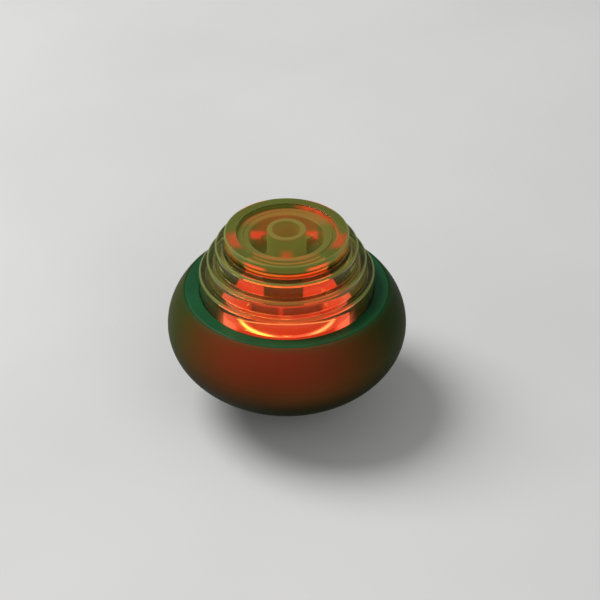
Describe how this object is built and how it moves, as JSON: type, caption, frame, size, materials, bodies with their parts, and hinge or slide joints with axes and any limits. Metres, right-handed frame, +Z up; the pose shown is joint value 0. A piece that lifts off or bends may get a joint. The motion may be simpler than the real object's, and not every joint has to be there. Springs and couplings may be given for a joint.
{
  "type": "light up spinning top",
  "caption": "Rounded spinning top with a clear stepped dome and launcher socket over its lamps, a moulded shell, a battery door underneath and a steel ball tip.",
  "frame": {"origin": "on the spin axis where the tip ball touches the floor", "axes": "+Z up along the spin axis, -Y towards the red lamp at the front, +X to the right"},
  "size_m": [0.06, 0.06, 0.0508],
  "materials": {
    "dome_plastic": "clear lime tint, polished",
    "socket_plastic": "translucent lime green, polished",
    "collar_plastic": "deep green, satin sheen",
    "upper_plastic": "translucent olive green, polished",
    "lower_plastic": "translucent dark olive green, polished",
    "door_plastic": "dark green moulding",
    "tray_plastic": "dark olive green moulding",
    "ring_plastic": "clear, frosted inside",
    "ring_steel": "turned, zinc plated",
    "screw_steel": "zinc plated",
    "tip_steel": "polished",
    "brass_sheet": "pressed sheet",
    "board": "green solder resist",
    "epoxy": "black epoxy",
    "red_lamp": "clear red epoxy",
    "green_lamp": "clear green epoxy",
    "white_plastic": "plain moulding",
    "spring_steel": "bright wire",
    "cell_case": "nickel plated can"
  },
  "bodies": {
    "spin_tip": {"tip_ball": "tip_steel"},
    "base": {"battery_door": "door_plastic", "tip_cup": "brass_sheet", "door_screw_1": "screw_steel", "door_screw_2": "screw_steel", "door_screw_3": "screw_steel", "contact_door_bridge": "brass_sheet"},
    "housing": {"dome_lens": "dome_plastic", "launch_socket": "socket_plastic", "collar_ring": "collar_plastic", "lamp_tray": "tray_plastic", "light_ring": "ring_plastic", "upper_shell": "upper_plastic", "lower_shell": "lower_plastic", "flywheel_ring": "ring_steel", "body_screw_1": "screw_steel", "body_screw_2": "screw_steel", "body_screw_3": "screw_steel", "circuit_board": "board", "board_screw_1": "screw_steel", "board_screw_2": "screw_steel", "board_screw_3": "screw_steel", "led_red": "red_lamp", "led_green_right": "green_lamp", "led_green_left": "green_lamp", "controller_chip": "epoxy", "resistor_1": "epoxy", "resistor_2": "epoxy", "switch_trough": "white_plastic", "switch_spring": "spring_steel", "switch_contact": "brass_sheet", "cell_1": "cell_case", "cell_2": "cell_case", "cell_3": "cell_case", "contact_positive": "brass_sheet", "contact_negative": "brass_sheet", "contact_roof_bridge": "brass_sheet"},
    "weight": {"switch_weight": "brass_sheet"}
  },
  "joints": [
    {"name": "top_spin", "type": "hinge", "parent": "spin_tip", "child": "base", "pos_m": [0, 0, 0.00237], "axis": [0, 0, 1], "continuous": true},
    {"name": "door_release", "type": "slide", "parent": "base", "child": "housing", "axis": [0, 0, 1], "range_m": [0, 0.014]},
    {"name": "switch_slide", "type": "slide", "parent": "housing", "child": "weight", "axis": [1, 0, 0], "range_m": [0, 0.0015], "stiffness_N_per_m": 3, "deforming": ["switch_spring"]}
  ]
}
